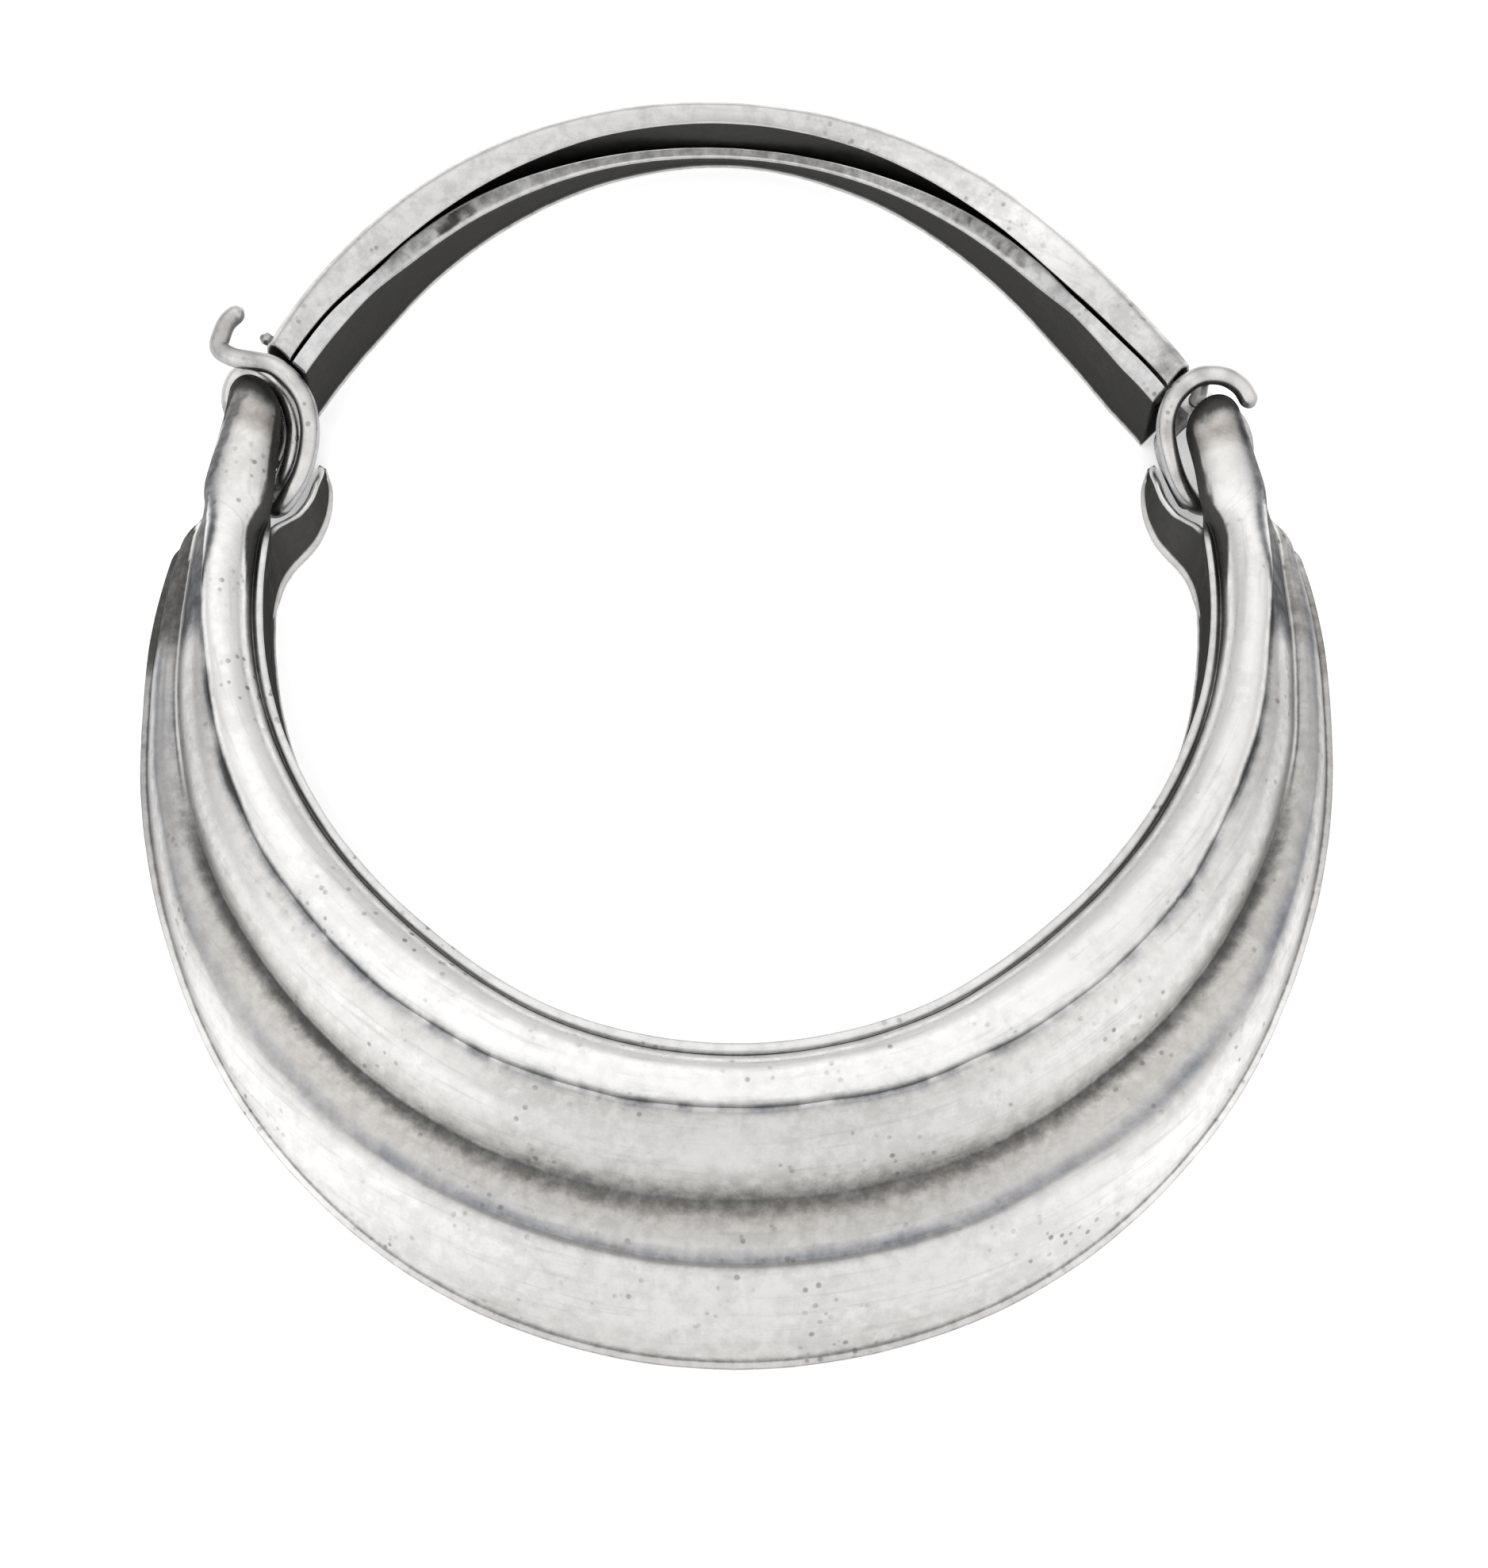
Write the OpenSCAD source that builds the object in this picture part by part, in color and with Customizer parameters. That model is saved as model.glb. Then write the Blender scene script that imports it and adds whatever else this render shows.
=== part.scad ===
// Rigid collar necklace in sheet silver: a hollow front crescent with three ridges, and a slim back
// that opens on a hinge at the right and is held shut by a wire hook at the left.
// Millimetres. The collar lies flat on z = 0, its front towards -Y, and the origin is the middle of
// its footprint. The neck's own centre is a little behind the origin.

/* [Collar] */
// Reach of the front rim from the neck centre
front_reach = 102.4; // [100:0.2:104]
// Thickness of the sheet that the front is soldered from
front_sheet = 1.0; // [0.8:0.1:1.1]
// Thickness of the sheet that the back is bent from
back_sheet = 0.8; // [0.7:0.1:0.9]

/* [Front ends] */
// Outer diameter of the tube at each end of the front
tube_d = 8.4; // [8:0.1:8.6]
// Height of the tube's axis above the table
tube_z = 11; // [10.8:0.1:11.4]
// Angle from the front at which the right tube ends
right_tip = 115.2; // [114:0.2:116]
// Angle from the front at which the left tube ends
left_tip = 117; // [116:0.2:118]
// Radius of the vent hole that soldering leaves in each tip
vent_r = 0.8; // [0.5:0.1:1]

/* [Neck plate] */
// Width from the neck face of the front to the crevice beside the first ridge
lip_w = 1.6; // [1.4:0.1:1.8]
// Thickness of the ear at each end of the neck plate
ear_sheet = 1.0; // [0.8:0.1:1.2]

/* [Back] */
// Height of the back's crest
back_h = 15; // [14:0.2:16]
// Distance of the back's own centre behind the neck centre
back_offset = 8.4; // [8:0.1:9]
// Angle from the rear at which the left end of the back is cut
back_left = 63.2; // [62:0.2:63.6]
// Angle from the rear at which the right end of the back is cut
back_right = 67.8; // [66:0.2:68]

/* [Wires and hinge] */
// Diameter of the wire of the ring and the hook
wire_d = 2.7; // [2.4:0.1:2.8]
// Diameter of the hinge pin
pin_d = 2.2; // [1.8:0.1:2.4]
// Clearance all round the pin in its eye
pin_gap = 0.15; // [0.1:0.05:0.3]
// Thickness of the lug
lug_t = 2.2; // [1.8:0.1:2.6]

/* [Hidden] */
silver = [0.80, 0.79, 0.77];
dark_silver = [0.62, 0.61, 0.59];

// The front's section, a row for each angle from the front: radii from the neck centre of the
// crevice beside the neck plate, the first groove, the second groove, the soft line before the
// outer ridge and the rim, then heights of the same four lines and of the first ridge's crest.
FRONT = [
    // angle crevice groove1 groove2 soft   rim    z_crev z_gr1 z_gr2 z_soft z_crest
    [0,      66.0,   73.0,   83.0,   90.5,  102.4, 17.5,  16.5, 10.0, 9.0,   20.0],
    [20,     65.5,   73.0,   82.8,   89.6,  100.5, 17.2,  16.3, 9.9,  8.9,   19.7],
    [40,     64.0,   72.6,   81.0,   87.4,  95.0,  16.2,  15.7, 9.5,  8.5,   18.9],
    [60,     64.1,   72.1,   79.0,   83.8,  88.0,  14.6,  14.8, 9.0,  8.0,   17.6],
    [80,     64.9,   71.6,   76.2,   79.2,  82.3,  12.6,  13.6, 8.4,  7.4,   16.2],
    [92,     65.4,   72.1,   75.0,   77.2,  80.3,  11.4,  13.0, 8.1,  7.1,   15.5],
    [104,    66.0,   73.2,   75.0,   76.4,  78.3,  10.4,  12.6, 7.9,  6.9,   15.1]
];
// The end tubes, by angle: radius of the axis from the neck centre and half the width. They taper to
// the round tip.
TUBE = [
    // angle left  right left_w right_w
    [92,     69.6, 69.4, 5.3,   5.1],
    [100,    69.6, 69.4, 5.2,   4.9],
    [104,    70.0, 69.6, 4.9,   4.6],
    [108,    70.8, 70.1, 4.5,   4.3],
    [112,    71.9, 70.8, 4.2,   4.2],
    [118,    74.6, 72.8, 4.2,   4.2]
];
// The ears: the sheet that leans from the neck plate towards the neck, by angle
EAR = [
    // angle foot_r top_r  height
    [91,     64.0,  64.4,  10.2],
    [95,     63.5,  64.5,  10.0],
    [98,     62.4,  64.9,  9.6],
    [101,    60.8,  64.5,  8.2],
    [103,    60.1,  63.4,  6.6],
    [104.5,  59.9,  62.5,  5.8],
    [107,    59.9,  61.8,  5.5],
    [109.5,  60.5,  61.9,  5.3],
    [111.5,  61.5,  62.4,  3.8],
    [113.5,  63.4,  63.6,  1.0]
];
// The back's outline: radius of its outer side from its own centre, by angle from the rear,
// negative towards the left. Hand bent, so a little fuller on the left and straight on the right.
BACK_OUT = [
    [-66,  69.2],
    [-48,  69.5],
    [-32,  70.0],
    [-16,  70.0],
    [0,    69.6],
    [16,   69.2],
    [32,   68.8],
    [48,   68.6],
    [58,   69.3],
    [68,   71.2]
];
// The back's section, by angle from the rear on both sides: distance inwards of the neck plate and
// of the crest's cut edge, height of that edge, height of the plate and width of its turned flange
BACK = [
    // angle plate crest z_cut plate_h flange
    [0,      2.9,  4.0,  13.0, 2.0,    1.2],
    [16,     4.2,  4.5,  13.0, 3.8,    1.5],
    [32,     6.3,  5.7,  13.2, 6.6,    2.6],
    [45,     7.6,  6.2,  13.3, 9.2,    2.7],
    [53,     8.2,  6.0,  13.4, 12.0,   2.0],
    [60,     8.0,  5.2,  13.5, 12.6,   2.5],
    [72,     6.8,  4.3,  13.5, 12.6,   2.2]
];

wire_r = wire_d / 2;
tube_r = tube_d / 2;
rear_r = 69.6;
back_skew = 2.2; // degrees that the back's form is turned to the right
left_lean = 0.2; // degrees for each mm inwards that the cut at the left end of the back leans
right_lean = 0.42;
neck_y = (front_reach - back_offset - rear_r) / 2;
back_x = -3;
back_y = neck_y + back_offset;

// Routes of the wires: points on the axis of each, chosen by hand
RING = [
    [70.8, 41.2, 12.3], [69.3, 43.3, 13.6], [66.6, 44.3, 14.8], [63.2, 44.0, 14.9], [60.3, 41.8, 14.0],
    [59.0, 38.8, 12.6], [59.2, 35.8, 10.8], [60.5, 32.3, 8.4], [62.2, 29.9, 6.6], [64.3, 29.2, 5.2],
    [67.2, 30.0, 4.6], [69.6, 33.8, 4.5], [70.8, 38.6, 4.2], [70.1, 43.0, 3.6], [67.5, 45.5, 3.2],
    [64.0, 44.9, 3.0], [61.3, 42.8, 3.1], [59.7, 40.1, 4.1], [59.7, 36.9, 5.2], [61.1, 33.1, 4.6],
    [62.9, 30.4, 2.9]
];
HOOK = [
    [-68.7, 54.4, 15.0], [-70.3, 52.7, 15.0], [-71.1, 50.7, 14.8], [-71.3, 48.7, 14.6], [-69.2, 47.1, 15.0],
    [-66.3, 46.2, 15.6], [-63.5, 45.4, 15.6], [-61.0, 43.4, 15.0], [-59.3, 41.0, 13.8], [-58.6, 38.0, 12.4],
    [-58.8, 34.9, 11.1], [-59.7, 31.9, 9.8], [-61.2, 29.5, 8.6], [-62.9, 28.2, 6.9], [-64.8, 29.0, 5.5],
    [-67.0, 31.9, 5.1], [-68.6, 38.0, 4.8], [-70.0, 42.6, 5.0], [-70.8, 45.8, 6.0], [-69.8, 48.2, 7.4],
    [-67.4, 48.6, 8.4], [-64.6, 46.6, 8.8], [-62.4, 43.8, 8.8], [-61.3, 40.4, 8.4], [-61.2, 37.4, 7.9],
    [-61.9, 34.6, 7.0], [-63.2, 32.8, 5.4], [-64.8, 32.6, 2.8], [-66.4, 34.4, 1.7], [-67.8, 36.8, 1.6],
    [-69.2, 40.0, 1.6], [-70.2, 43.6, 1.9], [-69.8, 46.8, 3.0], [-67.4, 47.8, 4.4], [-65.0, 45.8, 5.4],
    [-63.4, 42.4, 5.6], [-62.9, 39.4, 5.2], [-63.4, 37.2, 4.8], [-64.2, 36.0, 4.4]
];

// Hinge: the pin stands under the ring's top strand, and the lug's eye is below the tube's tip
pin_x = 64.2;
pin_y = 44.6;
pin_foot = 4.5;
pin_top = 13.1;
eye_z = 5.0;
eye_r = 2.4;

// Smooth curve through the rows of a table, whose first column is the angle
function span(t, x, i = 0) = i >= len(t) - 2 || x < t[i + 1][0] ? i : span(t, x, i + 1);
function gradient(t, a, b) = (t[b] - t[a]) / (t[b][0] - t[a][0]);
function slope(t, i, even) =
    i == 0 ? (even ? [1, for (k = [1:len(t[0]) - 1]) 0] : gradient(t, 0, 1))
    : i == len(t) - 1 ? gradient(t, i - 1, i)
    : gradient(t, i - 1, i + 1);
function row_at(t, x, even = false) =
    let (i = span(t, x), w = t[i + 1][0] - t[i][0], s = (x - t[i][0]) / w)
    (2 * s^3 - 3 * s^2 + 1) * t[i] + (s^3 - 2 * s^2 + s) * w * slope(t, i, even)
    + (3 * s^2 - 2 * s^3) * t[i + 1] + (s^3 - s^2) * w * slope(t, i + 1, even);
function ease(x) = let (s = min(1, max(0, x))) s * s * (3 - 2 * s);
function mix(a, b, s) = a + (b - a) * s;

// Faces between rings of n points each, rings in order, joined back to the first where closed
function wall_faces(rings, n, closed) = [
    for (i = [0:rings - (closed ? 1 : 2)], k = [0:n - 1])
        let (a = i * n + k, b = i * n + (k + 1) % n, c = ((i + 1) % rings) * n)
        for (f = [[a, c + (k + 1) % n, b], [a, c + k, c + (k + 1) % n]]) f
];

// The front's section at an angle from the front, as radius and height, drawn in by an inset
function ridge(u, round) = mix(1 - u * u, sqrt(max(0, 1 - u * u)), round);
function section(angle, inset) =
    let (f = row_at(FRONT, angle, true), crevice = f[1], groove1 = f[2], groove2 = f[3])
    let (soft = f[4], rim = f[5])
    let (z_crev = f[6], z_gr1 = f[7], z_gr2 = f[8], z_soft = f[9], z_crest = f[10])
    let (face = crevice - lip_w + inset, round = mix(0.35, 1, angle / 100), inner = inset > 0)
    let (mid = (crevice + groove1) / 2, half = (groove1 - crevice) / 2 - 0.4 * inset)
    let (z_base = inner ? z_crev - 0.9 - inset : z_crev - 0.9, rise = z_crest - (z_crev - 0.9 + z_gr1) / 2)
    let (flange = inner ? 3.2 * inset : 1, rim_in = rim - flange)
    concat(
        [[face, inset], [face, z_crev / 2]],
        inner ? [[face, z_base - 0.5], [face + 0.4, z_base - 0.1]]
              : [[face, z_crev + 0.1], [face + lip_w * 0.7, z_crev + 0.1]],
        [[crevice + 0.2 * inset, z_base]],
        [for (u = [-0.93, -0.75, -0.42, 0, 0.42, 0.75, 0.93])
            [mid + half * u, mix(z_base, z_gr1 - inset, (u + 1) / 2) + rise * ridge(u, round)]],
        [[groove1, z_gr1 - inset]],
        [for (s = [0.12, 0.3, 0.5, 0.72, 0.9])
            [mix(groove1, groove2 - 0.3 * inset, s),
             mix(z_gr1, z_gr2, s) - inset + 0.26 * (groove2 - groove1) * sin(180 * s)]],
        [[groove2, z_gr2 - inset], [mix(groove2, soft, 0.45), mix(z_gr2, z_soft, 0.45) - inset + 0.5],
         [soft, z_soft - inset]],
        [for (s = [0.12, 0.3, 0.5, 0.7, 0.88])
            [mix(soft, rim_in, s),
             mix(z_soft, 1, s) - inset * (1 - s / 2) + 0.26 * (rim - soft) * sin(180 * s^0.85)]],
        inner ? [[rim_in, inset + 0.5], [rim_in + 0.1, inset + 0.25], [rim_in, inset]]
              : [[rim_in, 1], [rim, 1], [rim, 0]],
        [for (s = [0.25, 0.5, 0.75]) [mix(rim_in, face, s), inset]]
    );
// Direction round the tube, from its top, of each point of the section
SECTION_TURN = concat([-155, -135, -118, -108, -97], [for (u = [-83, -64, -40, -5, 30, 58, 80]) u],
    [95], [for (k = [0:4]) 101 + 6 * k], [131, 137, 143], [for (k = [0:4]) 148 + 4 * k],
    [168, 172, 176], [184, 191, 198]);
points_round = len(SECTION_TURN);

// One ring of the front's skin: the ridged section, which turns into a round tube near the end
body_end = 104;
blend_start = 98;
function skin_ring(side, angle, radius, inset) =
    let (t = row_at(TUBE, max(TUBE[0][0], angle)), axis_r = side < 0 ? t[1] : t[2])
    let (across = (side < 0 ? t[3] : t[4]) - tube_r + radius)
    let (blend = ease((angle - blend_start) / (body_end - blend_start)))
    let (body = blend < 1 ? section(angle, inset) : [for (k = [1:points_round]) [0, 0]])
    [for (k = [0:points_round - 1])
        let (tube = [axis_r + across * sin(SECTION_TURN[k]), tube_z + radius * cos(SECTION_TURN[k])])
        let (p = mix(body[k], tube, blend))
        [side * p[0] * sin(angle), neck_y - p[0] * cos(angle), p[1]]];

// Stations of one side, from the front to the tip: angle and radius of the tube there
ridged = [0, 4, 9, 14, 20, 26, 32, 38, 45, 52, 59, 66, 73, 80, 87, 92, 95, 97];
ridged_inner = [10, 22, 34, 46, 58, 70, 82, 92];
turning = [98, 99.3, 100.4, 101.5, 102.6, 104, 107, 110];
turning_inner = [98, 101, 104, 107];
function tip_rings(tip, radius) =
    let (degree = 72 * PI / 180, centre = tip - tube_r / degree)
    [for (lean = [0, 28, 52, 68]) [centre + radius * sin(lean) / degree, radius * cos(lean)],
     [centre + sqrt(radius^2 - vent_r^2) / degree, vent_r]];
function stations(tip, inset) = concat(
    [for (a = inset > 0 ? ridged_inner : ridged) [a, tube_r - inset]],
    [for (a = inset > 0 ? turning_inner : turning) [a, tube_r - inset]],
    tip_rings(tip, tube_r - inset));
function flip(list) = [for (i = [len(list) - 1:-1:0]) list[i]];
function half_skin(side, inset) = [
    for (s = stations(side < 0 ? left_tip : right_tip, inset)) skin_ring(side, s[0], s[1], inset)];
function whole_skin(inset) =
    let (right = half_skin(1, inset), doubled = inset > 0 ? 0 : 1)
    concat(flip(half_skin(-1, inset)), [for (i = [doubled:len(right) - 1]) right[i]]);

// One ear: short slabs of sheet from station to station, each leaning from its foot to its top
module ear(side) {
    for (i = [0:len(EAR) - 2]) {
        hull() {
            ear_post(side, EAR[i]);
            ear_post(side, EAR[i + 1]);
        }
    }
}
module ear_post(side, e) {
    for (p = [[e[1], ear_sheet / 2], [e[2], max(e[3], ear_sheet) - ear_sheet / 2 + 0.01]]) {
        translate([side * p[0] * sin(e[0]), neck_y - p[0] * cos(e[0]), p[1]]) sphere(d = ear_sheet, $fn = 8);
    }
}

module front_crescent() {
    skin = concat(whole_skin(0), flip(whole_skin(front_sheet)));
    color(silver)
        union() {
            polyhedron([for (ring = skin) for (p = ring) p], wall_faces(len(skin), points_round, true), 8);
            ear(-1);
            ear(1);
        }
}

// The back's section: its outer face and its inner face, as distance inwards from the outline and
// height, from the flange's free edge down the plate, under the floor and up over the crest
function back_section(angle) =
    let (along = abs(angle - back_skew), b = row_at(BACK, along, true), plate = b[1], cut = b[2])
    let (z_cut = b[3], plate_h = b[4], flange = b[5])
    let (t = back_sheet, edge_lift = mix(1.1, 0.7, ease((along - 44) / 7)))
    [
        [[plate - flange, plate_h + edge_lift], [plate - flange, plate_h + edge_lift - t]],
        [[plate - 0.2, plate_h], [plate - t - 0.2, plate_h - t]],
        [[plate, plate_h - 0.5], [plate - t, plate_h - t - 0.1]],
        [[plate, 0], [plate - t, t]],
        [[0.9, 0], [1.3, t]],
        [[0.3, 1.2], [0.3 + t, 1.6]],
        [[0.0, 6.0], [t, 6.0]],
        [[0.0, 10.5], [t, 10.3]],
        [[0.35, 12.6], [0.35 + t, 12.2]],
        [[1.1, 14.1], [1.6, 13.35]],
        [[2.2, back_h], [2.4, back_h - t]],
        [[mix(2.2, cut, 0.5), mix(back_h, z_cut, 0.3)], [mix(2.4, cut, 0.45), mix(back_h, z_cut, 0.3) - t]],
        [[cut, z_cut], [cut - 0.2, z_cut - t]]
    ];
function back_ring(angle) =
    let (out = row_at(BACK_OUT, angle)[1], s = back_section(angle))
    let (path = concat([for (p = s) p[0]], [for (k = [len(s) - 1:-1:0]) s[k][1]]))
    let (lean = (angle < 0 ? -left_lean : right_lean) * ease((abs(angle) - 54) / 8))
    [for (p = path) let (a = angle + lean * p[0])
        [back_x + (out - p[0]) * sin(a), back_y + (out - p[0]) * cos(a), p[1]]];

module back_arc() {
    steps = 44;
    rings = [for (i = [0:steps]) back_ring(mix(-back_left, back_right, i / steps))];
    n = len(rings[0]);
    last = steps * n;
    ends = [for (k = [0:n / 2 - 2]) for (f = [
        [k, k + 1, n - 1 - k], [k + 1, n - 2 - k, n - 1 - k],
        [last + k + 1, last + k, last + n - 1 - k], [last + k + 1, last + n - 1 - k, last + n - 2 - k]]) f];
    color(silver)
        polyhedron([for (ring = rings) for (p = ring) p], concat(wall_faces(steps + 1, n, false), ends), 8);
}

// A wire swept along its route
function unit(v) = v / norm(v);
function route_point(route, i, s) =
    let (a = route[max(0, i - 1)], b = route[i], c = route[i + 1], d = route[min(len(route) - 1, i + 2)])
    0.5 * (2 * b + (c - a) * s + (2 * a - 5 * b + 4 * c - d) * s^2 + (3 * b - a - 3 * c + d) * s^3);
function smooth_route(route, cuts) = concat(
    [for (i = [0:len(route) - 2], k = [0:cuts - 1]) route_point(route, i, k / cuts)], [route[len(route) - 1]]);
module wire(route, cuts, sides) {
    axis = smooth_route(route, cuts);
    count = len(axis);
    heading = [for (i = [0:count - 1]) unit(axis[min(count - 1, i + 1)] - axis[max(0, i - 1)])];
    across = [for (i = 0, v = unit(cross(heading[0], [0, 0, 1])); i < count;
        i = i + 1, v = i < count ? unit(v - (v * heading[i]) * heading[i]) : v) v];
    function ring(centre, i, r) = [for (k = [0:sides - 1])
        centre + r * (cos(360 * k / sides) * across[i] + sin(360 * k / sides) * cross(heading[i], across[i]))];
    blunt = wire_r * 0.55;
    rings = concat([ring(axis[0] - heading[0] * 0.4, 0, blunt)],
        [for (i = [0:count - 1]) ring(axis[i], i, wire_r)],
        [ring(axis[count - 1] + heading[count - 1] * 0.4, count - 1, blunt)]);
    last = (len(rings) - 1) * sides;
    caps = [for (k = [1:sides - 2]) for (f = [[0, k, k + 1], [last, last + k + 1, last + k]]) f];
    polyhedron([for (r = rings) for (p = r) p], concat(wall_faces(len(rings), sides, false), caps), 8);
}
module hinge_ring() {
    color(silver) wire(RING, 3, 8);
}
module hook_wire() {
    color(silver) wire(HOOK, 2, 8);
}

module hinge_pin() {
    color(dark_silver)
        translate([pin_x, pin_y, pin_foot]) cylinder(d = pin_d, h = pin_top - pin_foot, $fn = 48);
}

// The lug: an eye round the pin, and a tongue with a foot that stands over the floor inside the back
lug_turn = 131;
lug_reach = 9;
lug_side = 0.3;
foot_l = 3.6;
module lug_plan() {
    start = asin(lug_side / eye_r);
    arc = [for (k = [0:32]) let (a = mix(90, 360 + start, k / 32)) eye_r * [cos(a), sin(a)]];
    polygon(concat(arc, [[lug_reach, lug_side], [lug_reach, eye_r]]));
}
module hinge_lug() {
    color(dark_silver)
        translate([pin_x, pin_y, 0])
            difference() {
                rotate([0, 0, lug_turn])
                    union() {
                        translate([0, 0, eye_z]) linear_extrude(lug_t) lug_plan();
                        translate([lug_reach - foot_l - 0.2, lug_side + 0.2, back_sheet + 0.2])
                            cube([foot_l, eye_r - lug_side - 0.4, eye_z + lug_t / 2 - back_sheet - 0.2]);
                    }
                translate([0, 0, eye_z - 1]) cylinder(d = pin_d + 2 * pin_gap, h = lug_t + 2, $fn = 48);
            }
}

front_crescent();
back_arc();
hinge_ring();
hook_wire();
hinge_pin();
hinge_lug();
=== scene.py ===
import math
import bmesh
import bpy
import numpy as np
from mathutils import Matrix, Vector, noise


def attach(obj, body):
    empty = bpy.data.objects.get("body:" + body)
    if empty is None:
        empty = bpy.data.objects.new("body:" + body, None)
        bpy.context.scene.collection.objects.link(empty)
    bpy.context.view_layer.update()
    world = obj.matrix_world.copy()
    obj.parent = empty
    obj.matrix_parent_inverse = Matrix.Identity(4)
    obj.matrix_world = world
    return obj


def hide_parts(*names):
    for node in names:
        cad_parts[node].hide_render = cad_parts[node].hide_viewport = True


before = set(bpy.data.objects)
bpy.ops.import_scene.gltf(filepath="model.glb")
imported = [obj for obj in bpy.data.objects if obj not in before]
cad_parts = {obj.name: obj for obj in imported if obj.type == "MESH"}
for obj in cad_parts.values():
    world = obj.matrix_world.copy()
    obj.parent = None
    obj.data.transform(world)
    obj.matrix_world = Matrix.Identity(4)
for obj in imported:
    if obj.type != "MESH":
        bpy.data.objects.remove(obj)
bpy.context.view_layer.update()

mm = 0.001

# Front shell
# The heavy front half of the collar: three ridges raised in silver sheet, soldered to a flat underside
# and a narrow upright neck plate, so it is hollow. Each end is drawn into a round tube that the wires
# wrap. The hammer has left shallow dents. The grooves hold tarnish and painted shade, and the crevice,
# the neck face and the tube's flanks are painted dark as shade.
FRONT = [
    # angle crevice groove1 groove2 soft   rim    z_crev z_gr1 z_gr2 z_soft z_crest, in mm and degrees
    [0,      66.0,   73.0,   83.0,   90.5,  102.4, 17.5,  16.5, 10.0, 9.0,   20.0],
    [20,     65.5,   73.0,   82.8,   89.6,  100.5, 17.2,  16.3, 9.9,  8.9,   19.7],
    [40,     64.0,   72.6,   81.0,   87.4,  95.0,  16.2,  15.7, 9.5,  8.5,   18.9],
    [60,     64.1,   72.1,   79.0,   83.8,  88.0,  14.6,  14.8, 9.0,  8.0,   17.6],
    [80,     64.9,   71.6,   76.2,   79.2,  82.3,  12.6,  13.6, 8.4,  7.4,   16.2],
    [92,     65.4,   72.1,   75.0,   77.2,  80.3,  11.4,  13.0, 8.1,  7.1,   15.5],
    [104,    66.0,   73.2,   75.0,   76.4,  78.3,  10.4,  12.6, 7.9,  6.9,   15.1],
]
TUBE = [
    # angle left  right left_w right_w: radius of the end tube's axis, and half the tube's width
    [92,     69.6, 69.4, 5.3,  5.1],
    [100,    69.6, 69.4, 5.2,  4.9],
    [104,    70.0, 69.6, 4.9,  4.6],
    [108,    70.8, 70.1, 4.5,  4.3],
    [112,    71.9, 70.8, 4.2,  4.2],
    [118,    74.6, 72.8, 4.2,  4.2],
]
neck_y = 12.2 * mm
lip_width = 1.6
swelling = 0.26
tube_radius = 4.2
tube_height = 11.0
tube_path = 72.0
tube_starts, tube_whole = 98, 104
tips = {-1: 117.0, 1: 115.2}
vent_radius, vent_depths = 0.8, (0.1, 1.0)
step_angle = 0.5


def smooth_row(table, angle, even=False):
    """Every column of a table at an angle between its rows, on one smooth curve. With even it starts
    level, because the other half mirrors it there."""
    i = 0
    while i < len(table) - 2 and angle >= table[i + 1][0]:
        i += 1
    rows = np.array(table, float)

    def slope(k):
        if k == 0 and even:
            return np.eye(1, rows.shape[1])[0]
        a, b = max(0, k - 1), min(len(rows) - 1, k + 1)
        return (rows[b] - rows[a]) / (rows[b][0] - rows[a][0])

    width = rows[i + 1][0] - rows[i][0]
    s = (angle - rows[i][0]) / width
    return ((2 * s**3 - 3 * s**2 + 1) * rows[i] + (s**3 - 2 * s**2 + s) * width * slope(i)
            + (3 * s**2 - 2 * s**3) * rows[i + 1] + (s**3 - s**2) * width * slope(i + 1))


def ease(x):
    """0 below 0, 1 above 1, and a smooth step between them."""
    s = min(1.0, max(0.0, x))
    return s * s * (3 - 2 * s)


def mix(a, b, s):
    return a + (b - a) * s


def waver(seed, angle, length=14):
    """A slow hand-made waver, about -1 to 1, along the collar; length is the wave in degrees."""
    return noise.fractal(Vector((seed * 7.3, angle / length, 0.5)), 1.0, 2.0, 2) * 1.4


def near(distance, width):
    """1 at no distance, fading to nothing at about twice the width."""
    return math.exp(-((distance / width) ** 2))


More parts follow.
